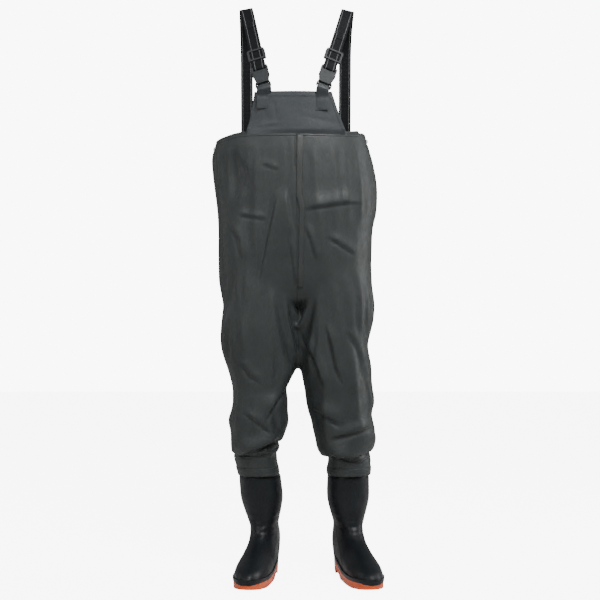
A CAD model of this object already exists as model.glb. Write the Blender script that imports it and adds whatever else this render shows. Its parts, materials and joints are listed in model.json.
"""Chest waders: coated-fabric trousers with a folding bib, webbing straps and welded PVC boots.

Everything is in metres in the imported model's frame: +Z up, the wearer looks along -Y, and the wearer's left
is +X. Outlines and small parts are in millimetres from PLAN, the garment's own upright axis.
"""

import json
import math
from contextlib import contextmanager

import bmesh
import bpy
import numpy as np
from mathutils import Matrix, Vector, noise
from mathutils.bvhtree import BVHTree


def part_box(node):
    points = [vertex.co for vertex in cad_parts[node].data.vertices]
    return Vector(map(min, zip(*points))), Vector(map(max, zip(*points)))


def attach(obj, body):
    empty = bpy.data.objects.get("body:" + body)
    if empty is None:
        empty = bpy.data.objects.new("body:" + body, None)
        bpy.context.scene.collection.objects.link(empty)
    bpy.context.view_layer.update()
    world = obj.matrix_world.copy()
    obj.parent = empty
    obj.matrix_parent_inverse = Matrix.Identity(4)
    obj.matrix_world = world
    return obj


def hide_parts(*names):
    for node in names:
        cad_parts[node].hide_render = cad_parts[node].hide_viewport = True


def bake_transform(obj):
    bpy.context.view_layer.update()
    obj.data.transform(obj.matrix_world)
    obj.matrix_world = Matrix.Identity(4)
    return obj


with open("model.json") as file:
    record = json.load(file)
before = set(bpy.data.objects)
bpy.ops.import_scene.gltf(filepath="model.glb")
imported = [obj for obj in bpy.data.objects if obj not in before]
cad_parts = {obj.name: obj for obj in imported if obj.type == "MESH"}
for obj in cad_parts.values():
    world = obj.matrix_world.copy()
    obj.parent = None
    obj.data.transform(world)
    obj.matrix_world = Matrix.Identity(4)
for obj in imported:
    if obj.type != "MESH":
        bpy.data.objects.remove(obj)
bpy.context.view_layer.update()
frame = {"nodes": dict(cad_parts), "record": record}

MM = 0.001
SIDES = {"left": 1, "right": -1}


def middle(node):
    low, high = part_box(node)
    return (low + high) / 2


PLAN = middle("crotch_patch") + Vector((4 * MM, 0, 0))
PLAN.z = 0.0
WAIST_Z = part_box("left_front_panel")[1].z
# The fabric's visible edge: below it, the fabric is moulded into the boot.
LEG_END_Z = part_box("left_back_shin")[0].z + 0.016
CROTCH_Z = 0.757
UP = Vector((0, 0, 1))


def clamp(value):
    return min(1.0, max(0.0, value))


def bell(value):
    """A smooth bump: 1 high at 0, and nearly gone by 2 on either side."""
    return math.exp(-value ** 2)


def eased(share):
    """A share from 0 to 1 with a soft start and end."""
    return share * share * (3 - 2 * share)


def turns(count):
    """The angles of evenly spaced points round a ring."""
    return [2 * math.pi * i / count for i in range(count)]


# ---- materials ----
class Nodes:
    """A material's node tree, with short calls for the nodes that these materials use."""

    def __init__(self, name, colour, roughness, specular):
        self.own = colour
        self.material = bpy.data.materials.new(name)
        self.material.use_nodes = True
        self.tree = self.material.node_tree
        self.shader = self.tree.nodes["Principled BSDF"]
        self.shader.inputs["Base Color"].default_value = (*colour, 1)
        self.shader.inputs["Roughness"].default_value = roughness
        self.shader.inputs["Specular IOR Level"].default_value = specular
        self.place = self.tree.nodes.new("ShaderNodeTexCoord").outputs["Object"]

    def link(self, output, socket):
        self.tree.links.new(output, socket)

    def noise(self, scale, detail=2.0, rough=0.5):
        node = self.tree.nodes.new("ShaderNodeTexNoise")
        node.inputs["Scale"].default_value = scale
        node.inputs["Detail"].default_value = detail
        node.inputs["Roughness"].default_value = rough
        self.link(self.place, node.inputs["Vector"])
        return node.outputs["Fac"]

    def voronoi(self, scale):
        node = self.tree.nodes.new("ShaderNodeTexVoronoi")
        node.inputs["Scale"].default_value = scale
        self.link(self.place, node.inputs["Vector"])
        return node.outputs["Distance"]

    def uv_wave(self, per_metre, direction):
        """A wave across a strap, or along it, from its own lengthwise coordinates."""
        uv = self.tree.nodes.new("ShaderNodeUVMap")
        uv.uv_map = "strap"
        node = self.tree.nodes.new("ShaderNodeTexWave")
        node.bands_direction = direction
        node.inputs["Scale"].default_value = per_metre / (2 * math.pi)
        node.inputs["Distortion"].default_value = 0.0
        self.link(uv.outputs["UV"], node.inputs["Vector"])
        return node.outputs["Fac"]

    def ramp(self, pattern, start, end, low, high, socket):
        """Feeds a socket a blend from one colour to another, as a pattern rises from start to end."""
        node = self.tree.nodes.new("ShaderNodeValToRGB")
        for element, at, colour in zip(node.color_ramp.elements, (start, end), (low, high)):
            element.position = at
            element.color = (*colour, 1)
        self.link(pattern, node.inputs["Fac"])
        self.link(node.outputs["Color"], self.shader.inputs[socket])

    def tint(self, pattern, start, end, low, high):
        """Varies the material's own colour between two shares of it."""
        dark, pale = ([c * share for c in self.own] for share in (low, high))
        self.ramp(pattern, start, end, dark, pale, "Base Color")

    def sheen(self, pattern, start, end, low, high):
        """Varies the roughness between two values."""
        self.ramp(pattern, start, end, [low] * 3, [high] * 3, "Roughness")

    def math(self, operation, a, b):
        node = self.tree.nodes.new("ShaderNodeMath")
        node.operation = operation
        for socket, value in zip(node.inputs, (a, b)):
            if isinstance(value, (int, float)):
                socket.default_value = value
            else:
                self.link(value, socket)
        return node.outputs[0]

    def bump(self, *layers):
        """Each layer is (height output, depth in metres)."""
        normal = None
        for height, depth in layers:
            node = self.tree.nodes.new("ShaderNodeBump")
            node.inputs["Distance"].default_value = depth
            node.inputs["Strength"].default_value = 1.0
            self.link(height, node.inputs["Height"])
            if normal:
                self.link(normal, node.inputs["Normal"])
            normal = node.outputs["Normal"]
        self.link(normal, self.shader.inputs["Normal"])


def coated_fabric(name, colour, roughness=0.5):
    """PVC on knitted nylon: a fine leathery emboss over the knit, scuffed a little paler in broad patches."""
    m = Nodes(name, colour, roughness, 0.38)
    m.tint(m.noise(9.0, 4.0, 0.6), 0.3, 0.7, 0.90, 1.12)
    m.sheen(m.noise(60.0, 3.0), 0.3, 0.7, roughness - 0.05, roughness + 0.07)
    m.bump((m.noise(70.0, 3.0, 0.55), 0.0006), (m.voronoi(900.0), 0.00012), (m.noise(1500.0), 0.00008))
    return m.material


def glossy_pvc(name, colour):
    """Moulded PVC: a slight orange-peel skin, dusty rub marks in broad patches."""
    m = Nodes(name, colour, 0.4, 0.3)
    m.tint(m.noise(14.0, 5.0, 0.65), 0.35, 0.75, 0.85, 1.35)
    m.sheen(m.noise(35.0, 4.0, 0.6), 0.3, 0.75, 0.35, 0.53)
    m.bump((m.noise(45.0), 0.0005), (m.noise(700.0), 0.00006))
    return m.material


def outsole_pvc(name, colour):
    m = Nodes(name, colour, 0.42, 0.45)
    m.tint(m.noise(22.0, 4.0, 0.6), 0.3, 0.7, 0.82, 1.1)
    m.sheen(m.noise(80.0, 3.0), 0.3, 0.7, 0.34, 0.52)
    m.bump((m.noise(160.0, 3.0), 0.0003), (m.noise(1500.0), 0.00008))
    return m.material


def moulded_plastic(name, colour):
    m = Nodes(name, colour, 0.5, 0.25)
    m.tint(m.noise(90.0, 3.0), 0.3, 0.7, 0.85, 1.2)
    m.sheen(m.noise(300.0, 3.0), 0.3, 0.7, 0.44, 0.58)
    m.bump((m.noise(1800.0), 0.00005))
    return m.material


def webbing(name, colour):
    """Woven polypropylene webbing: cross ribs, and fine warp cords along it."""
    m = Nodes(name, colour, 0.68, 0.16)
    ribs = m.uv_wave(560.0, "Y")
    cords = m.uv_wave(800.0, "X")
    weave = m.math("MULTIPLY", ribs, m.math("ADD", m.math("MULTIPLY", cords, 0.5), 0.5))
    m.tint(weave, 0.1, 0.9, 0.55, 1.5)
    m.sheen(m.noise(500.0), 0.3, 0.7, 0.55, 0.75)
    m.bump((weave, 0.0004), (m.noise(2500.0, 1.0), 0.0001))
    return m.material


def brushed_metal(name, colour):
    m = Nodes(name, colour, 0.3, 0.5)
    m.shader.inputs["Metallic"].default_value = 1.0
    m.sheen(m.noise(700.0, 3.0), 0.3, 0.7, 0.22, 0.4)
    m.bump((m.noise(1500.0), 0.00004))
    return m.material


def knit(name, colour):
    m = Nodes(name, colour, 0.85, 0.2)
    m.tint(m.voronoi(450.0), 0.1, 0.6, 1.15, 0.7)
    m.sheen(m.noise(200.0), 0.3, 0.7, 0.8, 0.95)
    m.bump((m.voronoi(450.0), 0.0004))
    return m.material


FABRIC = (0.0275, 0.0325, 0.0320)
MATERIALS = {
    "coated_fabric": coated_fabric("coated_fabric", FABRIC),
    "bib_fabric": coated_fabric("bib_fabric", (0.036, 0.0415, 0.0455), 0.48),
    "seam_tape": coated_fabric("seam_tape", (0.031, 0.0355, 0.0350), 0.46),
    "elastic": knit("elastic", (0.02, 0.02, 0.022)),
    "webbing": webbing("webbing", (0.0054, 0.0063, 0.0073)),
    "webbing_line": webbing("webbing_line", (0.13, 0.134, 0.138)),
    "buckle_plastic": moulded_plastic("buckle_plastic", (0.028, 0.032, 0.034)),
    "buckle_shade": moulded_plastic("buckle_shade", (0.006, 0.0065, 0.007)),
    "rivet_metal": brushed_metal("rivet_metal", (0.55, 0.56, 0.57)),
    "boot_pvc": glossy_pvc("boot_pvc", (0.0065, 0.0085, 0.0105)),
    "outsole_pvc": outsole_pvc("outsole_pvc", (0.78, 0.115, 0.028)),
    "thread": knit("thread", (0.05, 0.052, 0.055)),
    "lining": knit("lining", (0.16, 0.165, 0.17)),
    "insole_foam": knit("insole_foam", (0.08, 0.08, 0.085)),
}


# ---- mesh helpers ----
def new_object(name, mesh, slot=None):
    obj = bpy.data.objects.new(name, mesh)
    bpy.context.scene.collection.objects.link(obj)
    if slot:
        obj.data.materials.append(MATERIALS[slot])
    return obj


def mesh_of(name, verts, faces):
    mesh = bpy.data.meshes.new(name)
    mesh.from_pydata([tuple(v) for v in verts], [], faces)
    mesh.update()
    return mesh


def smooth(mesh):
    mesh.polygons.foreach_set("use_smooth", [True] * len(mesh.polygons))
    mesh.update()


def skin(rings):
    """Verts and faces of a capped tube through rings with the same number of points."""
    n = len(rings[0])
    faces = []
    for k in range(len(rings) - 1):
        for i in range(n):
            j = (i + 1) % n
            faces.append((k * n + i, k * n + j, (k + 1) * n + j, (k + 1) * n + i))
    faces.append(tuple(reversed(range(n))))
    faces.append(tuple(range((len(rings) - 1) * n, len(rings) * n)))
    return [p for ring in rings for p in ring], faces


def joined(name, parts):
    """One mesh of several parts, each of them (verts, faces)."""
    verts, faces = [], []
    for v, f in parts:
        start = len(verts)
        verts += v
        faces += [tuple(i + start for i in face) for face in f]
    return mesh_of(name, verts, faces)


@contextmanager
def edited(mesh):
    """A bmesh of a mesh, which is written back at the end."""
    bm = bmesh.new()
    bm.from_mesh(mesh)
    yield bm
    bm.to_mesh(mesh)
    bm.free()


def facing_out(mesh):
    with edited(mesh) as bm:
        bmesh.ops.recalc_face_normals(bm, faces=bm.faces)


def moulded(name, parts, slot=None):
    """A closed and smoothly shaded piece of one or more tubes."""
    obj = new_object(name, joined(name, parts), slot)
    facing_out(obj.data)
    smooth(obj.data)
    return obj


def applied(obj):
    """The object's mesh with its modifiers applied, in a new mesh."""
    graph = bpy.context.evaluated_depsgraph_get()
    graph.update()
    mesh = bpy.data.meshes.new_from_object(obj.evaluated_get(graph))
    obj.modifiers.clear()
    old = obj.data
    obj.data = mesh
    bpy.data.meshes.remove(old)
    return mesh


def set_all(target, **settings):
    for key, value in settings.items():
        setattr(target, key, value)


def with_modifier(obj, kind, **settings):
    modifier = obj.modifiers.new(kind.lower(), kind)
    set_all(modifier, **settings)
    return modifier


def curve_through(rows, z):
    """Each column of rows at height z, on smooth curves through the rows, which rise in z."""
    table = np.array(rows, float)
    z = min(max(z, table[0, 0]), table[-1, 0])
    i = int(min(np.searchsorted(table[:, 0], z, side="right") - 1, len(table) - 2))
    low, high = table[i], table[i + 1]
    before, after = table[max(i - 1, 0)], table[min(i + 2, len(table) - 1)]
    span = high[0] - low[0]
    slope_low = (high - before) / (high[0] - before[0])
    slope_high = (after - low) / (after[0] - low[0])
    t = (z - low[0]) / span
    return (
        (1 + 2 * t) * (1 - t) ** 2 * low
        + t * (1 - t) ** 2 * span * slope_low
        + t * t * (3 - 2 * t) * high
        + t * t * (t - 1) * span * slope_high
    )


def tree_of(obj):
    bm = bmesh.new()
    bm.from_mesh(obj.data)
    tree = BVHTree.FromBMesh(bm)
    bm.free()
    return tree


def on_surface(tree, origin, direction, lift):
    """Where a ray first meets a surface, lifted off it towards the ray, in metres."""
    hit, normal, _, _ = tree.ray_cast(origin, direction)
    if hit is None:
        return None
    if normal.dot(direction) > 0:
        normal = -normal
    return hit + normal * lift


def patch(rows, wrap=False):
    """Verts and quads through rows of points; wrap joins the last row to the first."""
    n = len(rows[0])
    faces = []
    for k in range(len(rows) if wrap else len(rows) - 1):
        a, b = k * n, (k + 1) % len(rows) * n
        faces += [(a + i, a + i + 1, b + i + 1, b + i) for i in range(n - 1)]
    return [p for row in rows for p in row], faces


def sheet(name, rows, slot, thickness, wrap=False):
    """A piece of fabric through rows of points, with its thickness in mm."""
    return thickened(new_object(name, mesh_of(name, *patch(rows, wrap)), slot), thickness)


def thickened(obj, thickness):
    """Gives a patch its fabric's thickness, in mm, to both sides."""
    with_modifier(obj, "SOLIDIFY", thickness=thickness * MM, offset=0.0)
    slot = obj.data.materials[0]
    mesh = applied(obj)
    facing_out(mesh)
    mesh.materials.clear()
    mesh.materials.append(slot)
    smooth(mesh)
    return obj


def filled(rows):
    """Rows of surface points, with any that a ray missed copied from the row before."""
    for k, row in enumerate(rows):
        for i, p in enumerate(row):
            if p is None:
                near = rows[k - 1][i] if k else next(r[i] for r in rows if r[i])
                row[i] = near.copy()
    return rows


def smooth_path(points, count):
    """Points evenly spaced in parameter on a Catmull-Rom curve."""
    ends = [points[0] * 2 - points[1]] + list(points) + [points[-1] * 2 - points[-2]]
    out = []
    for k in range(count + 1):
        at = k / count * (len(points) - 1)
        i = min(int(at), len(points) - 2)
        t = at - i
        a, b, c, d = ends[i:i + 4]
        out.append(0.5 * ((b * 2) + (c - a) * t + (a * 2 - b * 5 + c * 4 - d) * t * t
                          + (b * 3 - a - c * 3 + d) * t ** 3))
    return out


def ribbon(name, path, across, width, thickness, slot, line=None):
    """A flat strip along a path, with rounded selvedges; line is the near and far edge of its woven lines."""
    half, t = width / 2, thickness / 2
    marks = [-half, -half * 0.96]
    marks += [-line[1], -line[0], line[0], line[1]] if line else [-half * 0.5, half * 0.5]
    marks += [half * 0.96, half]
    count = len(marks)
    section = [(m, t if 0 < i < count - 1 else t * 0.45) for i, m in enumerate(marks)]
    section += [(m, -t if 0 < i < count - 1 else -t * 0.45) for i, m in reversed(list(enumerate(marks)))]
    n = len(section)
    run = 0.0
    rings, along = [], []
    for k, p in enumerate(path):
        tangent = (path[min(k + 1, len(path) - 1)] - path[max(k - 1, 0)]).normalized()
        side = across[k] - tangent * across[k].dot(tangent)
        side.normalize()
        up = side.cross(tangent)
        if k:
            run += (p - path[k - 1]).length
        along.append(run)
        rings.append([p + (side * a + up * b) * MM for a, b in section])
    verts, faces = skin(rings)
    kinds, coords = [], []
    for face in faces:
        quad = len(face) == 4
        marks_between = sorted(min(v % n, n - 1 - v % n) for v in face[:2])
        kinds.append(int(quad and bool(line) and marks_between in ([2, 3], [4, 5])))
        for v in face:
            coords += [section[v % n][0] * MM, along[v // n] if quad else 0.0]
    obj = new_object(name, mesh_of(name, verts, faces), slot)
    if line:
        obj.data.materials.append(MATERIALS["webbing_line"])
    layer = obj.data.uv_layers.new(name="strap")
    layer.data.foreach_set("uv", coords)
    obj.data.polygons.foreach_set("material_index", kinds)
    facing_out(obj.data)
    return obj


def stitches(name, rows, body, step=3.4, length=2.3, radius=0.28):
    """Rows of sewing thread: each row is a list of (point, outward normal) that the stitches follow."""
    shape = ((-0.5, 0.35, -0.25), (-0.32, 1, 0.1), (0.32, 1, 0.1), (0.5, 0.35, -0.25))
    parts = []
    for row in rows:
        for (p, normal), (q, _) in zip(row[:-1], row[1:]):
            count = max(1, int((q - p).length / (step * MM)))
            along = (q - p).normalized()
            side = along.cross(normal).normalized()
            up = side.cross(along)
            up = up if up.dot(normal) > 0 else -up
            for k in range(count):
                centre = p + (q - p) * ((k + 0.5) / count)
                rings = []
                for end, size, rise in shape:
                    base = centre + along * (end * length * MM) + up * (rise * MM)
                    rings.append([base + (side * math.cos(a) + up * math.sin(a)) * (radius * size * MM)
                                  for a in turns(6)])
                parts.append(skin(rings))
    obj = moulded(name, parts)
    obj.data.materials.append(MATERIALS["thread"])
    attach(obj, body)


# ---- trousers ----
# Outlines in millimetres, as (height, right edge x, left edge x, half depth, y centre).
TORSO = [
    (722, -186, 176, 84, 0),
    (765, -204, 185, 112, 0),
    (800, -207, 183, 116, 0),
    (860, -206, 183, 123, 0),
    (906, -208, 184, 126, 0),
    (952, -212, 203, 127, 0),
    (999, -219, 201, 127, 0),
    (1045, -227, 191, 126, 0),
    (1091, -225, 179, 122, 0),
    (1128, -219, 171, 119, 0),
    (1170, -216, 168, 117, 0),
]
RIGHT_LEG = [
    (200, -157, -49, 66, 18),
    (242, -157, -49, 66, 18),
    (272, -166, -54, 70, 17),
    (303, -171, -58, 74, 12),
    (334, -174, -53, 79, 6),
    (357, -175, -48, 82, 3),
    (372, -176, -37, 83, 1),
    (395, -177, -33, 85, -1),
    (416, -180, -22, 86, -2),
    (440, -178, -26, 87, -4),
    (473, -170, -30, 88, -5),
    (500, -169, -34, 90, -5),
    (530, -172, -18, 94, -5),
    (549, -178, -8, 96, -5),
    (566, -183, -6, 98, -4),
    (597, -198, -7, 101, -3),
    (620, -206, -6, 103, -3),
    (674, -191, -5, 107, -2),
    (705, -184, -6, 109, -1),
    (740, -196, -8, 110, 0),
    (765, -194, -18, 106, 0),
    (800, -182, -35, 100, 0),
]
LEFT_LEG = [
    (200, 68, 181, 66, 18),
    (242, 69, 181, 66, 18),
    (272, 69, 185, 70, 17),
    (303, 73, 181, 74, 12),
    (320, 62, 180, 77, 9),
    (334, 47, 184, 79, 6),
    (381, 36, 196, 84, 0),
    (427, 27, 184, 87, -3),
    (473, 16, 190, 88, -5),
    (520, 9, 184, 92, -5),
    (566, -1, 182, 98, -4),
    (597, -2, 170, 101, -3),
    (620, -4, 170, 103, -3),
    (674, -3, 193, 107, -2),
    (705, -1, 196, 109, -1),
    (740, -3, 188, 110, 0),
    (765, 8, 178, 106, 0),
    (800, 25, 165, 100, 0),
]
POWER = 2.3  # how square the outlines are: 2 would be an ellipse
VOXEL = 0.0065
WAIST_HELD = 0.06  # how far below the waist and above the boots the fabric is held in place
FOOT_HELD = 0.07
LARGER_CUT = -0.016  # a negative shrinkage: the fabric is this share larger than the outlines
FRAMES = 22


def oval(row, inset, points=96):
    """A ring of a trouser outline, a little squarer than an ellipse, in the frame."""
    z, right, left, depth, y = row
    half, centre = (left - right) / 2 - inset, (left + right) / 2
    out = []
    for t in turns(points):
        c, s = math.cos(t), math.sin(t)
        x = centre + math.copysign(abs(c) ** (2 / POWER), c) * half
        yy = y + math.copysign(abs(s) ** (2 / POWER), s) * (depth - inset)
        out.append(PLAN + Vector((x, yy, z)) * MM)
    return out


def tube_parts(inset, low=215.0, high=1150.0):
    """The torso and both legs as capped tubes, inset from their outlines, between two heights in mm."""
    parts = []
    for rows, z0, z1 in ((TORSO, TORSO[0][0], high), (RIGHT_LEG, low, 800), (LEFT_LEG, low, 800)):
        count = int((z1 - z0) / 9)
        levels = [z0 + (z1 - z0) * k / count for k in range(count + 1)]
        parts.append(skin([oval(curve_through(rows, z), inset) for z in levels]))
    return parts


def remeshed(name, inset, voxel, **limits):
    """The torso and the legs as one closed surface."""
    obj = new_object(name, joined(name, tube_parts(inset, **limits)))
    with_modifier(obj, "REMESH", mode="VOXEL", voxel_size=voxel)
    with_modifier(obj, "SMOOTH", factor=0.5, iterations=8)
    applied(obj)
    return obj


def cut(bm, point, normal, away=False):
    """Cuts a bmesh along a plane; away removes what lies on the normal's side, and leaves the cut open."""
    geometry = bm.verts[:] + bm.edges[:] + bm.faces[:]
    bmesh.ops.bisect_plane(bm, geom=geometry, plane_co=point, plane_no=normal, clear_outer=away, dist=1e-5)


def waist_line(x, y):
    """The height of the trousers' top edge: it sags over the wearer's right hip and rises at the left one."""
    x = (x - PLAN.x) / MM
    y = (y - PLAN.y) / MM
    sag = max(0.0, (-150 - x) / 76) ** 1.3
    rise = max(0.0, (x - 60) / 110) ** 1.5 * clamp((y + 130) / 110)
    return WAIST_Z + (-16 * sag + 13 * rise) * MM


def seam_x(z):
    """The x of the centre seam, which leans from the bib to the crotch."""
    share = min(1.0, (WAIST_Z - z) / (WAIST_Z - CROTCH_Z))
    return PLAN.x + (-12 + 6 * share) * MM


def trouser_blank():
    """The trousers before they are draped: open at the boots, and cut along the centre seam.

    The plane at the top passes just above the torso's end, so the end stays and closes the waist like a lid.
    """
    blank = remeshed("trouser_blank", 1.0, VOXEL)
    mesh = blank.data
    top = WAIST_Z + 0.028
    a = Vector((seam_x(WAIST_Z), 0, WAIST_Z))
    b = Vector((seam_x(CROTCH_Z), 0, CROTCH_Z))
    along = (b - a).normalized()
    for z, facing in ((top, 1), (LEG_END_Z, -1)):
        with edited(mesh) as bm:
            cut(bm, (0, 0, z), (0, 0, facing), away=True)
    with edited(mesh) as bm:
        cut(bm, a, along.cross(Vector((0, 1, 0))))
        side = bm.faces.layers.int.new("left_half")
        for face in bm.faces:
            centre = face.calc_center_median()
            at = a + along * ((a.z - centre.z) / -along.z)
            face[side] = int(centre.x > at.x)
    # The top ring follows the waist line.
    still = WAIST_Z - WAIST_HELD
    for v in mesh.vertices:
        if v.co.z > still:
            share = (v.co.z - still) / (top - still)
            v.co.z += (waist_line(v.co.x, v.co.y) - top) * share
    return blank


def drape(obj):
    """Lets the fabric fall a little over a body form: it is cut larger than the form, so it folds."""
    scene = bpy.context.scene
    form = remeshed("body_form", 13.0, 0.014, low=190.0, high=1180.0)
    with_modifier(form, "COLLISION")
    form.collision.thickness_outer = 0.003
    form.collision.cloth_friction = 12.0
    group = obj.vertex_groups.new(name="held")
    for v in obj.data.vertices:
        z = v.co.z
        hem = max(0.0, 1 - (waist_line(v.co.x, v.co.y) - z) / WAIST_HELD)
        foot = max(0.0, 1 - (z - LEG_END_Z) / FOOT_HELD)
        held = min(1.0, max(hem, foot, 0.04) * 1.4)
        group.add([v.index], held, "REPLACE")
    cloth = with_modifier(obj, "CLOTH")
    set_all(cloth.settings, quality=6, mass=0.45, air_damping=2, vertex_group_mass="held", pin_stiffness=2.0,
            tension_stiffness=25, compression_stiffness=25, shear_stiffness=12, bending_stiffness=45,
            tension_damping=12, compression_damping=12, shear_damping=8, bending_damping=8,
            shrink_min=LARGER_CUT, shrink_max=LARGER_CUT)
    cloth.settings.effector_weights.gravity = 0.8
    set_all(cloth.collision_settings, distance_min=0.004, use_self_collision=False)
    set_all(cloth.point_cache, frame_start=1, frame_end=FRAMES)
    for f in range(1, FRAMES + 1):
        scene.frame_set(f)
    applied(obj)
    bpy.data.objects.remove(form)
    scene.frame_set(1)


def co_array(mesh):
    co = np.empty(len(mesh.vertices) * 3)
    mesh.vertices.foreach_get("co", co)
    return co.reshape(-1, 3)


def normal_array(mesh):
    n = np.empty(len(mesh.vertices) * 3)
    mesh.vertex_normals.foreach_get("vector", n)
    return n.reshape(-1, 3)


def put_co(mesh, co):
    mesh.vertices.foreach_set("co", co.ravel())
    mesh.update()


def path_distance(px, pz, path):
    """Distance from a path in the front view, positive on its left, and how far along it from 0 to 1."""
    path = np.array(path, float)
    best = np.full(px.shape, 1e9)
    signed, along = np.zeros(px.shape), np.zeros(px.shape)
    lengths = np.hypot(*np.diff(path, axis=0).T)
    total, done = lengths.sum(), 0.0
    for (x0, z0), (x1, z1), length in zip(path[:-1], path[1:], lengths):
        dx, dz = (x1 - x0) / length, (z1 - z0) / length
        t = np.clip((px - x0) * dx + (pz - z0) * dz, 0, length)
        ex, ez = px - x0 - t * dx, pz - z0 - t * dz
        d = np.hypot(ex, ez)
        nearer = d < best
        best = np.where(nearer, d, best)
        signed = np.where(nearer, np.sign(dx * ez - dz * ex) * d, signed)
        along = np.where(nearer, (done + t) / total, along)
        done += length
    return signed, along


def fold(mesh, path, height, left, right, valley=0.75, facing=-1, ends=0.3):
    """Raises a fold along a path in the front view, in mm: gentle over one width and steep over the other."""
    co, normals = co_array(mesh), normal_array(mesh)
    px, pz = (co[:, 0] - PLAN.x) / MM, co[:, 2] / MM
    d, t = path_distance(px, pz, path)
    width = np.where(d > 0, left, right)
    shape = np.exp(-((d / width) ** 2))
    steep = min(left, right)
    dip_side = 1 if left < right else -1
    dip = valley * np.exp(-(((d * dip_side - 1.25 * steep) / (0.62 * steep)) ** 2))
    fade = eased(np.clip(t / ends, 0, 1) * np.clip((1 - t) / ends, 0, 1))
    faces_it = np.clip(normals[:, 1] * facing * 2.2 + 0.25, 0, 1)
    amount = height * MM * (shape - dip) * fade * faces_it
    put_co(mesh, co + normals * amount[:, None])


# Folds in the front view: path, height, reach on its left and on its right as it is travelled, in mm, and the
# depth of the hollow beside it, as a share of its height.
FRONT_FOLDS = [
    ([(-19, 1116), (-18, 1030), (-17, 944)], 1.6, 9, 9),
    ([(-45, 995), (-70, 880), (-92, 771), (-98, 712)], 4.5, 24, 7),
    ([(-40, 987), (-30, 920), (-19, 856)], 3.0, 7, 18),
    ([(-150, 1078), (-127, 1028), (-146, 975), (-180, 930)], 2.6, 26, 10),
    ([(-158, 923), (-120, 917), (-75, 908)], 2.2, 9, 7),
    ([(-97, 1050), (-48, 1030)], 1.6, 9, 7),
    ([(0, 932), (50, 940), (110, 950), (166, 954)], 6.0, 24, 6, 0.35),
    ([(14, 900), (32, 850), (47, 796)], 3.0, 11, 6),
    ([(-24, 872), (-15, 800), (-5, 726)], 3.0, 14, 5),
    ([(68, 868), (105, 846), (148, 818)], 3.0, 13, 7),
    ([(-178, 905), (-150, 860), (-140, 800)], 3.0, 14, 8),
    ([(-15, 575), (-33, 501), (-65, 451), (-102, 392)], 7.0, 8, 20),
    ([(-145, 433), (-100, 402), (-62, 369)], 4.5, 15, 7),
    ([(-42, 368), (-100, 342), (-164, 312)], 9.0, 8, 24),
    ([(-150, 560), (-120, 520), (-90, 500)], 3.5, 14, 8),
    ([(3, 636), (24, 590), (46, 539), (70, 472)], 5.0, 15, 7),
    ([(66, 656), (82, 595), (94, 539), (118, 482)], 6.0, 18, 7),
    ([(30, 440), (70, 420), (116, 392)], 6.0, 20, 10),
    ([(66, 360), (125, 376), (188, 395)], 7.0, 20, 9),
    ([(72, 322), (112, 310), (154, 301), (176, 313)], 8.0, 18, 6),
    ([(120, 640), (150, 590), (165, 540)], 3.5, 14, 9),
]
BACK_FOLDS = [
    ([(-150, 786), (-95, 764), (-30, 770)], 6.0, 8, 20),
    ([(20, 768), (85, 762), (145, 788)], 6.0, 8, 20),
    ([(-160, 500), (-105, 486), (-45, 496)], 7.0, 8, 20),
    ([(-158, 452), (-100, 440), (-40, 452)], 6.0, 9, 18),
    ([(35, 498), (100, 484), (170, 500)], 7.0, 8, 20),
    ([(34, 450), (100, 438), (175, 452)], 6.0, 9, 18),
    ([(-165, 335), (-110, 318), (-58, 330)], 7.0, 8, 20),
    ([(72, 330), (125, 316), (176, 334)], 7.0, 8, 20),
    ([(-120, 1040), (-80, 940), (-96, 840)], 4.0, 18, 12),
    ([(90, 1030), (70, 940), (100, 850)], 4.0, 12, 18),
    ([(-60, 1085), (-40, 1010)], 2.5, 10, 10),
    ([(50, 1088), (36, 1000)], 2.5, 10, 10),
]
HIP_DENT = (-166, 1015, 30, 64, 11.0)  # x and height of its middle, half width, half height and depth, in mm


def dent(mesh, spot):
    x, z, half_x, half_z, depth = spot
    co, normals = co_array(mesh), normal_array(mesh)
    d = (((co[:, 0] - PLAN.x) / MM - x) / half_x) ** 2 + ((co[:, 2] / MM - z) / half_z) ** 2
    amount = -depth * MM * np.exp(-d) * np.clip(-normals[:, 1] * 2 + 0.4, 0, 1)
    put_co(mesh, co + normals * amount[:, None])


def slack(mesh):
    """Broad, low swells in the fabric, and more at the shins, where its length gathers over the boots."""
    co, normals = co_array(mesh), normal_array(mesh)
    amount = np.empty(len(co))
    for i, (x, y, z) in enumerate(co):
        broad = noise.noise(Vector((x * 9, y * 9, z * 6)))
        gathered = noise.noise(Vector((x * 8 + 5, y * 8, z * 26)))
        low_leg = clamp((0.56 - z) / 0.15) * clamp((z - LEG_END_Z - 0.03) / 0.05)
        amount[i] = (1.6 * broad + 2.6 * low_leg * gathered) * MM
    hem = np.clip((WAIST_Z - 0.01 - co[:, 2]) / 0.05, 0, 1)
    put_co(mesh, co + normals * (amount * hem)[:, None])


def trousers():
    blank = trouser_blank()
    drape(blank)
    with_modifier(blank, "SMOOTH", factor=0.5, iterations=5)
    with_modifier(blank, "SUBSURF", levels=1, subdivision_type="CATMULL_CLARK")
    mesh = applied(blank)
    slack(mesh)
    for row in FRONT_FOLDS:
        fold(mesh, *row)
    for row in BACK_FOLDS:
        fold(mesh, *row, facing=1)
    dent(mesh, HIP_DENT)
    with_modifier(blank, "SMOOTH", factor=0.5, iterations=2)
    applied(blank)
    return blank


def bends_at_knee(piece):
    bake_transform(piece)


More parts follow.
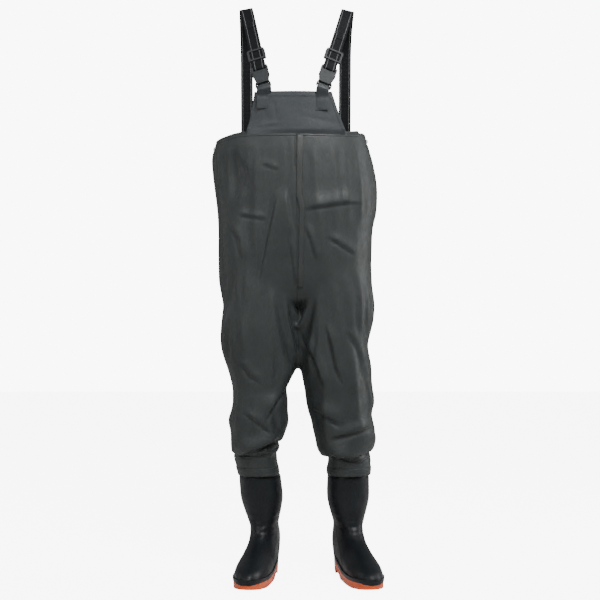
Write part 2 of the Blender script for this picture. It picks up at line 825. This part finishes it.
def split_halves(blank):
    """One object for each half, which bends at its own knee."""
    for side in SIDES:
        mesh = blank.data.copy()
        with edited(mesh) as bm:
            layer = bm.faces.layers.int["left_half"]
            want = int(side == "left")
            bmesh.ops.delete(bm, geom=[f for f in bm.faces if f[layer] != want], context="FACES")
        half = new_object(f"{side}_trouser_leg", mesh, "coated_fabric")
        with_modifier(half, "SOLIDIFY", thickness=0.0016, offset=-1.0)
        mesh = applied(half)
        mesh.materials.clear()
        mesh.materials.append(MATERIALS["coated_fabric"])
        smooth(mesh)
        bends_at_knee(half)
        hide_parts(f"{side}_front_panel", f"{side}_back_panel", f"{side}_knee_band",
                    f"{side}_front_shin", f"{side}_back_shin", "crotch_patch")
    bpy.data.objects.remove(blank)


def seam_edge(z):
    """The x in mm of the overlapped centre seam's free edge, which steps over at the fold below the belly."""
    if z > 0.965:
        return -9.0
    if z > 0.928:
        return -9.0 + 7.5 * (0.965 - z) / 0.037
    return -1.5 - 3.5 * (0.928 - z) / 0.176


def centre_tapes(tree):
    """The front seam's overlapping strip, and the tape over the back seam."""
    for face, f, low in (("front", -1, 0.736), ("back", 1, 0.750)):
        top = WAIST_Z - 0.005
        rows = []
        for k in range(90):
            z = top + (low - top) * k / 89
            edge = seam_edge(z) if f < 0 else 2.0
            width = 17.0 - 5.0 * (top - z) / (top - low)
            ray = Vector((0, -f, 0))
            row = []
            for share, lift in ((0, -0.3), (0.02, 1.7), (0.3, 1.3), (0.65, 0.9), (0.97, 0.5), (1, 0.1)):
                start = Vector((PLAN.x + (edge + width * share) * MM, PLAN.y + f * 0.4, z))
                row.append(on_surface(tree, start, ray, lift * MM))
            rows.append(row)
        tape = sheet(f"{face}_seam", filled(rows), "seam_tape", 0.7)
        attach(tape, "trousers")
        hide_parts(f"{face}_seam_tape")


def side_tapes(tree):
    for side, s in SIDES.items():
        rows = []
        top, low = WAIST_Z - 0.02, LEG_END_Z + 0.03
        for k in range(170):
            z = top + (low - top) * k / 169
            y = curve_through(LEFT_LEG, z / MM)[4] if z < 0.8 else 0.0
            row = []
            for across, lift in ((-7, 0.2), (-6.6, 0.9), (0, 1.0), (6.6, 0.9), (7, 0.2)):
                start = Vector((PLAN.x + s * 0.4, PLAN.y + (y + across) * MM, z))
                row.append(on_surface(tree, start, Vector((-s, 0, 0)), lift * MM))
            rows.append(row)
        tape = sheet(f"{side}_side_seam", filled(rows), "seam_tape", 0.7)
        bends_at_knee(tape)
        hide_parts(f"{side}_side_seam_tape")


def waist_band(tree):
    """The folded and welded top edge: a narrow band, rolled over the top and tucked inside."""
    axis = PLAN + Vector((-22 * MM, 0, 0))
    rows = []
    for angle in turns(200):
        out = Vector((math.cos(angle), math.sin(angle), 0))

        def at(z, lift):
            return on_surface(tree, axis + out * 0.5 + UP * z, -out, lift * MM)

        side = at(WAIST_Z - 0.03, 0) or at(WAIST_Z - 0.04, 0)
        top = waist_line(side.x, side.y)
        drops = ((10, -0.3), (8.5, 0.3), (6, 0.7), (4.5, 1.0), (3.0, 1.3))
        row = [at(top - drop * MM, lift) or side.copy() for drop, lift in drops]
        roll = ((0, 3.2), (1.0, 4.8), (2.6, 5.0), (3.8, 3.4), (4.0, -8.0))
        rows.append(row + [row[-1] + (UP * rise - out * tuck) * MM for tuck, rise in roll])
    band = sheet("waist_hem_band", rows, "coated_fabric", 0.8, wrap=True)
    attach(band, "trousers")
    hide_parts("waist_hem", "waist_elastic")


def eyelets(tree):
    """A pressed metal eyelet at each end of the waist, over the side seam."""
    profile = ((2.2, 0.2), (2.3, 1.3), (3.1, 1.7), (4.1, 1.4), (4.7, 0.5), (4.8, -0.4))
    parts = []
    for s in SIDES.values():
        start = Vector((PLAN.x + s * 0.4, PLAN.y - 0.006, WAIST_Z - (0.030 if s < 0 else 0.010)))
        centre = on_surface(tree, start, Vector((-s, 0, 0)), 0.6 * MM)
        out = Vector((s, -0.5, 0.1)).normalized()
        across = out.cross(UP).normalized()
        up = across.cross(out)
        rings = []
        for a in turns(36):
            spoke = across * math.cos(a) + up * math.sin(a)
            rings.append([centre + (spoke * r + out * h) * MM for r, h in profile])
        parts.append(patch(rings, wrap=True))
    made = thickened(new_object("waist_eyelets", joined("waist_eyelets", parts), "rivet_metal"), 0.5)
    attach(made, "trousers")
    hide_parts("waist_rivets")


def joint_bands(tree):
    """The smooth band that is welded over each boot's top, below the last folds of the leg."""
    for side in SIDES:
        rows_of = LEFT_LEG if side == "left" else RIGHT_LEG
        rows = []
        for angle in turns(120):
            out = Vector((math.cos(angle), math.sin(angle), 0))
            row = []
            for rise, lift in ((-1, 0.0), (3, 0.9), (7, 1.0), (11, 1.0), (15, 1.0), (19, 0.9), (20, 0.2)):
                z = LEG_END_Z + rise * MM
                _, right, left, _, y = curve_through(rows_of, z / MM)
                axis = PLAN + Vector(((right + left) / 2 * MM, y * MM, 0))
                outside = axis + out * 0.108 + Vector((0, 0, max(z, LEG_END_Z + 0.004)))
                row.append(on_surface(tree, outside, -out, lift * MM))
                if row[-1]:
                    row[-1].z = z
            rows.append(row)
        band = sheet(f"{side}_joint_band", filled(rows), "coated_fabric", 0.8, wrap=True)
        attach(band, f"{side}_lower_leg")


# ---- bib ----
BIB_TOP_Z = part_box("bib_panel")[1].z
BIB_RADIUS = 380.0
BIB_AXIS = PLAN + Vector((-18, -118 + BIB_RADIUS, 0)) * MM
BIB_FOOT_EDGES = (-134.0, 116.0)
BIB_TOP_EDGES = (-114.0, 79.0)


def bib_edge(z, end):
    """The plan x in mm of the bib's edge at a height: end 0 is the wearer's right, and 1 the left."""
    share = clamp((z - WAIST_Z) / (BIB_TOP_Z - WAIST_Z))
    hollow = 8 * share * (1 - share)
    straight = BIB_FOOT_EDGES[end] * (1 - share) + BIB_TOP_EDGES[end] * share
    return straight + (hollow if end == 0 else -hollow)


def bib_normal(x):
    """The direction out of the bib's curve at a plan x in mm."""
    sine = (x + 18) / BIB_RADIUS
    return Vector((sine, -math.sqrt(1 - sine * sine), 0))


def bib_relief(x, z):
    """Soft creases in the bib, in mm out of its curve: under each tab, along its foot, and a slackness."""
    h = 1.3 * noise.noise(Vector((x * 0.018, z * 16.0, 1.7)))
    h += 0.7 * bell((x + 96) / 5) * clamp((z - 1.13) / 0.03)
    h += 0.8 * bell((x + 78) / 6) * clamp((z - 1.14) / 0.03)
    h += 1.6 * bell(((z - 1.141) / MM - 0.06 * (x + 100)) / 5) * bell((x + 96) / 42)
    h -= 0.5 * bell(((z - 1.150) / MM + 0.18 * (x - 60)) / 7) * bell((x - 55) / 40)
    beyond = x + 69 - (1.207 - z) * 232
    h -= 0.07 * max(0.0, -beyond) * clamp((z - 1.128) / 0.02)
    h -= 1.5 * bell(beyond / 5.5) * bell(((z - 1.168) / MM / 34) ** 2)
    return h


def bib_point(tree, x, z, lift):
    """A point of the bib, from plan x in mm and z in metres; below the waist it tucks behind the trousers."""
    radius = (BIB_RADIUS + lift + bib_relief(x, z)) * MM
    p = BIB_AXIS + bib_normal(x) * radius + UP * z
    share = clamp((z - WAIST_Z + 0.006) / 0.013)
    if share < 1:
        front = on_surface(tree, Vector((p.x, PLAN.y - 0.4, min(z, WAIST_Z - 0.012))), Vector((0, 1, 0)), 0)
        tucked = front.y + 2.2 * MM
        p.y = tucked * (1 - eased(share)) + p.y * eased(share)
    return p


def bib_piece(tree, name, places, heights, lift, thickness, node):
    """A piece of the bib's fabric: places(z) gives a row's plan x in mm and shares of the lift."""
    rows = [[bib_point(tree, x, z, lift * ease) for x, ease in places(z)] for z in heights]
    piece = sheet(name, rows, "bib_fabric", thickness)
    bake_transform(piece)
    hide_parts(node)


def bib(tree):
    """The raised chest panel, its doubled top hem and its turned side edges."""
    low = WAIST_Z - 0.014
    levels = [low + (BIB_TOP_Z - low) * k / 46 for k in range(47)]

    def across(z):
        a, b = bib_edge(z, 0), bib_edge(z, 1)
        return [(a + (b - a) * k / 70, 1) for k in range(71)]

    def beside(end):
        s = 1 if end == 0 else -1
        shares = ((-0.3, 0.8), (0, 1), (3, 1), (6.5, 1), (7.7, 0.9), (8, 0.2))
        return lambda z: [(bib_edge(z, end) + s * d, ease) for d, ease in shares]

    bib_piece(tree, "bib_front", across, levels, 0, 1.4, "bib_panel")
    top = [BIB_TOP_Z - drop for drop in (0.0125, 0.0120, 0.009, 0.005, 0.001, -0.0004)]
    bib_piece(tree, "bib_hem", across, top, 0.8, 0.8, "bib_top_hem")
    for end, side in enumerate(("right", "left")):
        bib_piece(tree, f"bib_{side}_hem", beside(end), levels[8:-5], 0.8, 0.8, "bib_side_hems")
    row = [(bib_point(tree, x, BIB_TOP_Z - 0.0105, 1.35), bib_normal(x)) for x in range(-108, 74, 9)]
    stitches("bib_hem_stitches", [row], "bib")


# ---- straps ----
STRAP_WIDTH = 32.0
STRAP_MM = 1.6
JOINTS = {joint["name"]: joint for joint in frame["record"]["behaviour"]["joints"]}


class StrapFrame:
    """A strap's own axes from the bar of the bib's tab: u across, v up along it and w out of the chest."""

    def __init__(self, side):
        inner, outer = (JOINTS[f"{side}_{which}_prong_squeeze"] for which in ("inner", "outer"))
        self.v = Vector(JOINTS[f"{side}_clip_release"]["axis"]).normalized()
        self.w = Vector(min(inner["axis"], outer["axis"], key=lambda axis: axis[1])).normalized()
        self.u = self.v.cross(self.w)
        self.origin = (Vector(inner["pos_m"]) + Vector(outer["pos_m"])) / 2 - self.v * 0.0358

    def at(self, u, v, w):
        return self.origin + (self.u * u + self.v * v + self.w * w) * MM


BACK_RUN = {"left": 119.0, "right": -141.0}  # plan x of the straight run up the back
BACK_TOP = (84.0, 1338.0)  # plan y and height of its upper and lower end
ANCHOR = (113.5, 1086.0)
TAIL_END = {"left": 142.0, "right": 168.0}  # how far up the front the tail is stitched down


def arc(middle_v, middle_w, radius, start, end, count=10):
    """Points (v, w) round a bar, from one angle to another in degrees, measured from +w towards +v."""
    out = []
    for k in range(count + 1):
        a = math.radians(start + (end - start) * k / count)
        out.append((middle_v + radius * math.sin(a), middle_w + radius * math.cos(a)))
    return out


def strap(side, axes):
    """The main run: from its anchor on the waist, over the shoulder, to the front run under the adjuster."""
    xb = BACK_RUN[side]
    top, anchor = (PLAN + Vector((xb, *place)) * MM for place in (BACK_TOP, ANCHOR))
    down = (anchor - top).normalized()
    start = axes.at(0, 150.3, 0)
    poles = [start, start + axes.v * 0.114, top - down * 0.128, top]
    path = [anchor + (top - anchor) * k / 14 for k in range(14)]
    across = [Vector((-1, 0, 0))] * 14
    for k in range(49):
        t = 1 - k / 48
        a, b, c, d = poles
        path.append(a * (1 - t) ** 3 + b * 3 * t * (1 - t) ** 2 + c * 3 * t * t * (1 - t) + d * t ** 3)
        across.append(-(axes.u * (1 - t) + Vector((1, 0, 0)) * t))
    path += [axes.at(0, v, -0.1) for v in (145, 140, 134)]
    across += [-axes.u] * 3
    piece = ribbon(f"{side}_strap", path, across, STRAP_WIDTH, STRAP_MM, "webbing", (10.0, 11.5))
    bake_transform(piece)
    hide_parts(f"{side}_back_strap", f"{side}_shoulder_strap")


def front_run(side, axes):
    """The webbing behind the adjuster, round the clip's bar and back up to its stitched end."""
    end = TAIL_END[side]

    def run(name, places, count, thickness):
        path = smooth_path([axes.at(0, v, w) for v, w in places], count)
        across = [axes.u] * len(path)
        made = ribbon(f"{side}_{name}", path, across, STRAP_WIDTH, thickness, "webbing", (8.8, 10.4))
        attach(made, f"{side}_clip")
        return made

    down = [(150, 0), (135, 0), (118, 0), (104, 0), (95, -0.5)]
    down += [(87, -2.0), (79, -3.1), (66, -3.2), (56, -3.2)]
    up = [(54, 4.8), (62, 4.1), (70, 4.0), (96, 4.0), (118, 4.4), (end - 14, 4.3), (end, 4.0)]
    piece = run("front_run", down + arc(46.7, 0.9, 4.1, 180, 360) + up, 150, STRAP_MM)
    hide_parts(f"{side}_front_strap", f"{side}_web_loop")
    turned = ((end - 13, 5.5), (end - 6, 5.7), (end - 1, 5.5), (end + 0.6, 4.6), (end + 0.2, 3.8))
    run("tail_end", turned, 24, 1.3)
    rows = [[(axes.at(u, end - v, 6.3), axes.w) for u in range(-13, 14, 13)] for v in (4, 9.5)]
    stitches(f"{side}_tail_stitches", rows, f"{side}_clip")


# Each tab's sewn part hangs straight down the bib: its middle x in mm, foot and top in metres, and its width.
TAB = {"left": (53.5, 1.177, 1.211, 31.0), "right": (-89.5, 1.181, 1.214, 35.0)}


def bib_tab(side, axes, tree):
    """A strip sewn down the bib, that turns to the strap's tilt and folds round the socket's bar."""
    x, foot, top, width = TAB[side]
    steps = (0, 0.3, 0.65, 1)
    under = [bib_point(tree, x, foot + (top - foot) * t, 1.0 + 0.8 * t) for t in steps]
    over = [bib_point(tree, x, foot + (top - foot) * t, 2.2 + 1.5 * t) for t in steps]
    end = bib_point(tree, x, foot - 0.0006, 1.4)
    loop = [axes.at(0, v, w) for v, w in [(-9, -2.4)] + arc(0, 0, 3.7, 200, -20) + [(-9, 4.6)]]
    path = smooth_path(under + loop + over[::-1] + [end], 110)
    across = []
    for p in path:
        share = clamp((p.z - top) / 0.014)
        across.append(Vector((1, 0, 0)) * (1 - share) + axes.u * share)
    piece = ribbon(f"{side}_tab", path, across, width, 1.4, "bib_fabric")
    smooth(piece.data)
    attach(piece, "bib")
    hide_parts(f"{side}_bib_tab")
    half = width / 2 - 3.0
    corners = [(-half, top), (half, top), (half, foot + 0.004), (-half, foot + 0.004), (-half, top)]
    sewn = []
    for u, z in corners:
        share = (z - foot) / (top - foot)
        sewn.append((bib_point(tree, x + u, z, 3.1 + 1.5 * share), bib_normal(x + u)))
    stitches(f"{side}_tab_stitches", [sewn], "bib")
    socket_web(side, axes)


def socket_web(side, axes):
    """The moulded web between the socket's end bar and its body."""
    outline = ((-15, -2.4), (15, -2.4), (15, 1.2), (-15, 1.2))
    block = skin([[axes.at(u, v, w) for u, w in outline] for v in (4.5, 8.6)])
    web = new_object(f"{side}_socket_web", mesh_of(f"{side}_socket_web", *block), "buckle_plastic")
    web.data.materials[0] = MATERIALS["buckle_shade"]
    facing_out(web.data)
    with_modifier(web, "BEVEL", width=0.0006, segments=3)
    applied(web)
    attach(web, "bib")


def strap_anchor(side):
    """The patch with round corners that welds the back run's end to the waist."""
    xb = BACK_RUN[side]
    half, radius = 23, 5
    rows = []
    for k in range(21):
        z = WAIST_Z - 0.044 + 0.059 * k / 20
        pull = max(0.0, radius - min(k, 20 - k) * 2.95)
        reach = half - radius + math.sqrt(radius ** 2 - pull ** 2)
        row = []
        for i in range(17):
            u = max(-reach, min(reach, -half + 2 * half * i / 16))
            over = 1.6 * math.exp(-max(0.0, abs(u) - 15.5) ** 2 / 8)
            rim = 1.2 if k in (0, 20) or i in (0, 16) else 0
            row.append(PLAN + Vector((xb + u, ANCHOR[0] + 0.9 + over - rim, z / MM)) * MM)
        rows.append(row)
    piece = sheet(f"{side}_anchor_patch", rows, "seam_tape", 1.0)
    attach(piece, "trousers")
    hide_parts(f"{side}_strap_anchor")

    def seam(corners):
        places = (PLAN + Vector((xb + u, ANCHOR[0] + 3.0, WAIST_Z / MM + v)) * MM for u, v in corners)
        return [(p, Vector((0, 1, 0))) for p in places]

    box_and_diagonal = ((-12, -38), (12, -38), (12, -12), (-12, -12), (-12, -38), (12, -12))
    other_diagonal = ((-12, -12), (12, -38))
    stitches(f"{side}_anchor_stitches", [seam(box_and_diagonal), seam(other_diagonal)], "trousers")


def waist_loop(side):
    """A short loop of cord beside the back strap, its ends sewn into the waist's edge."""
    x = BACK_RUN[side] + SIDES[side] * 20.5
    rise = [(-2.5, 100, -8), (-2.8, 100, 4), (-2.2, 99, 14)]
    path = rise + [(0, 98, 18)] + [(-u, y, v) for u, y, v in reversed(rise)]
    points = smooth_path([PLAN + Vector((x + u, y, WAIST_Z / MM + v)) * MM for u, y, v in path], 40)
    rings = []
    for k, p in enumerate(points):
        tangent = (points[min(k + 1, len(points) - 1)] - points[max(k - 1, 0)]).normalized()
        back = Vector((0, 1, 0))
        other = tangent.cross(back).normalized()
        rings.append([p + (back * math.cos(a) + other * math.sin(a)) * MM for a in turns(10)])
    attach(moulded(f"{side}_waist_loop", [skin(rings)], "webbing"), "trousers")


def straps(tree):
    for side in SIDES:
        axes = StrapFrame(side)
        strap(side, axes)
        front_run(side, axes)
        bib_tab(side, axes, tree)
        strap_anchor(side)
        waist_loop(side)


# ---- boots ----
ANKLE = {"left": (124, 26), "right": (-90, 26)}
TURN_OUT = {"left": 16.0, "right": 13.0}
SHAFT_LEAN = {"left": 1.0, "right": -17.0}
SHAFT_TOP = 284.0
# Outlines as (z, toe reach, heel reach, half width at the ball, half width at the heel) from the ankle.
BOOT = [
    (0, 224, 60, 47, 33),
    (22, 230, 63, 49, 35),
    (45, 214, 65, 45, 39),
    (66, 158, 66, 35, 41),
    (86, 106, 64, 32, 40),
    (106, 76, 60, 33, 37),
    (128, 62, 56, 36, 36),
    (160, 57, 57, 46, 46),
    (195, 60, 61, 54, 54),
    (241, 62, 63, 54, 54),
    (SHAFT_TOP, 62, 63, 52.5, 52.5),
]
# Creases across the front of the ankle, as (height, depth, reach), in mm.
CREASES = [(99, 1.0, 4.5), (112, 1.7, 6.0), (126, 1.3, 5.5), (141, 0.8, 5.0)]
SEAT = ((6.0, 84.0), (40.0, 17.0))  # forward of the ankle, the sole's thickness there


def boot_relief(side, z, t):
    """Mould lines up both sides, creases over the instep and behind the ankle, in mm out of the outline."""
    s = SIDES[side]
    outer, inner = (math.pi / 2, 3 * math.pi / 2) if s > 0 else (3 * math.pi / 2, math.pi / 2)
    up = clamp((z - 34) / 12) * clamp((250 - z) / 10)
    h = up * (0.9 * bell((t - outer) / 0.03) + 0.5 * bell((t - inner) / 0.03))
    front = max(0.0, math.cos(t) + 0.25) / 1.25
    for centre, depth, reach in CREASES:
        bowed = centre + 9 * math.sin(t) ** 2 + 3 * math.sin(3 * t + centre)
        h -= depth * front ** 0.7 * bell((z - bowed) / reach)
        h += 0.5 * depth * front ** 0.7 * bell((z - bowed - 1.9 * reach) / reach)
    back = max(0.0, -math.cos(t))
    h -= 1.0 * back * bell((z - 150) / 6)
    h += 0.5 * noise.noise(Vector((math.cos(t) * 2, math.sin(t) * 2, z * 0.02 + s)))
    return h


def boot_ring(side, z, grow, relief, points=180):
    """A ring round a boot, grown beyond its outline in mm, with its creases or without."""
    s = SIDES[side]
    x0, y0 = ANKLE[side]
    _, toe, heel, ball, back = curve_through(BOOT, z)
    rise = max(0.0, z - 100) / (SHAFT_TOP - 100)
    turned = math.radians(TURN_OUT[side] * (1 - rise) * s)
    mid, half = (toe - heel) / 2, (toe + heel) / 2 + grow
    ring = []
    for t in turns(points):
        forward = mid + half * math.cos(t)
        share = (1 + math.cos(t)) / 2
        inset = 4.5 if z < np.interp(forward, *SEAT) + 1 else 0.0
        forward -= inset * math.cos(t)
        broad = back + (ball - back) * min(1.0, share * 1.25) + grow - inset
        across = broad * math.copysign(abs(math.sin(t)) ** (0.86 if forward > mid else 0.72), math.sin(t))
        across -= s * 0.06 * max(0.0, forward - 90) * (1 if toe > 150 else 0)
        if relief:
            h = boot_relief(side, z, t)
            forward += h * math.cos(t)
            across += h * math.sin(t)
        c, n = math.cos(turned), math.sin(turned)
        x = x0 + SHAFT_LEAN[side] * rise + across * c + forward * n
        y = y0 - 8 * rise + across * n - forward * c
        ring.append(PLAN + Vector((x, y, z)) * MM)
    return ring


def boots():
    for side in SIDES:
        heights = np.arange(15, SHAFT_TOP, 3.5)
        outside = [boot_ring(side, z, -2.6 * clamp((z - 250) / 6), True) for z in heights]
        inside = [boot_ring(side, z, -5.0, False) for z in np.arange(SHAFT_TOP - 2, 48, -9.0)]
        boot = moulded(f"{side}_boot", [skin(outside + inside)], "boot_pvc")
        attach(boot, f"{side}_lower_leg")
        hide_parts(f"{side}_boot_upper", f"{side}_shaft_lining", f"{side}_insole")


# ---- stage ----
FLOOR_HALF = 6
FLOOR_GLOW = 7.5
BACKDROP_GLOW = 9.0
BACKDROP_LIGHT = 0.24


def shown_and_lit(tree, shown, lit):
    """Joins two shader outputs: the first is what the backdrop looks like, the second what it lights with."""
    mix = tree.nodes.new("ShaderNodeMixShader")
    path = tree.nodes.new("ShaderNodeLightPath")
    tree.links.new(path.outputs["Is Camera Ray"], mix.inputs["Fac"])
    tree.links.new(lit, mix.inputs[1])
    tree.links.new(shown, mix.inputs[2])
    return mix.outputs[0]


def stage():
    """A white studio: the backdrop is bright to look at, but lights the garment only softly."""
    corners = [(x * FLOOR_HALF, y * FLOOR_HALF, 0) for x, y in ((-1, -1), (1, -1), (1, 1), (-1, 1))]
    floor = new_object("floor", mesh_of("floor", corners, [(0, 1, 2, 3)]))
    m = Nodes("pale_floor", (0.9, 0.9, 0.9), 0.9, 0.1)
    glow = m.tree.nodes.new("ShaderNodeEmission")
    glow.inputs["Strength"].default_value = FLOOR_GLOW
    both = m.tree.nodes.new("ShaderNodeAddShader")
    m.link(m.shader.outputs[0], both.inputs[0])
    m.link(glow.outputs[0], both.inputs[1])
    mixed = shown_and_lit(m.tree, both.outputs[0], m.shader.outputs[0])
    m.link(mixed, m.tree.nodes["Material Output"].inputs["Surface"])
    floor.data.materials.append(m.material)
    world = bpy.data.worlds.new("studio")
    world.use_nodes = True
    tree = world.node_tree
    lit = tree.nodes["Background"]
    lit.inputs["Color"].default_value = (1, 1, 1, 1)
    lit.inputs["Strength"].default_value = BACKDROP_LIGHT
    shown = tree.nodes.new("ShaderNodeBackground")
    shown.inputs["Color"].default_value = (1, 1, 1, 1)
    shown.inputs["Strength"].default_value = BACKDROP_GLOW
    mixed = shown_and_lit(tree, shown.outputs[0], lit.outputs[0])
    tree.links.new(mixed, tree.nodes["World Output"].inputs["Surface"])
    bpy.context.scene.world = world


def area_light(name, place, target, size, power, spread=180):
    """A rectangular lamp; size and target are in metres, power in watts and spread in degrees."""
    light = bpy.data.lights.new(name, "AREA")
    light.shape = "RECTANGLE"
    light.size, light.size_y = size
    light.energy = power
    light.spread = math.radians(spread)
    obj = bpy.data.objects.new(name, light)
    obj.location = place
    obj.rotation_euler = (Vector(target) - Vector(place)).to_track_quat("-Z", "Y").to_euler()
    bpy.context.scene.collection.objects.link(obj)


def lights():
    chest, hips = ((PLAN.x, PLAN.y, z) for z in (1.0, 0.9))
    area_light("key", (0.98, -1.8, 2.8), chest, (1.2, 1.2), 13.2, 60)
    area_light("fill", (-1.7, -2.3, 2.0), chest, (1.2, 1.6), 4, 60)
    area_light("left_rim", (2.0, 0.35, 1.15), hips, (0.5, 1.6), 20)
    area_light("right_rim", (-2.0, 0.4, 1.15), hips, (0.5, 1.6), 5)


CAMERA_DISTANCE = 3.0
CAMERA_HEIGHT = 0.705
FRAME_WIDTH = 1.545  # of the view at the garment's side seams


def camera():
    data = bpy.data.cameras.new("camera")
    data.sensor_width = 36.0
    data.lens = data.sensor_width * CAMERA_DISTANCE / FRAME_WIDTH
    obj = bpy.data.objects.new("camera", data)
    obj.location = (PLAN.x, PLAN.y - CAMERA_DISTANCE, CAMERA_HEIGHT)
    obj.rotation_euler = (math.radians(90), 0, 0)
    bpy.context.scene.collection.objects.link(obj)
    bpy.context.scene.camera = obj


def finish_cad_nodes():
    """Every CAD node that stays gets its slot's finished material."""
    slots = {row["node"]: row["material_slot"] for row in frame["record"]["subparts"]}
    for name, obj in frame["nodes"].items():
        obj.data.materials.clear()
        obj.data.materials.append(MATERIALS[slots[name]])


camera()
stage()
lights()
finish_cad_nodes()
shape = trousers()
surface = tree_of(shape)
split_halves(shape)
centre_tapes(surface)
side_tapes(surface)
waist_band(surface)
eyelets(surface)
joint_bands(surface)
bib(surface)
straps(surface)
boots()
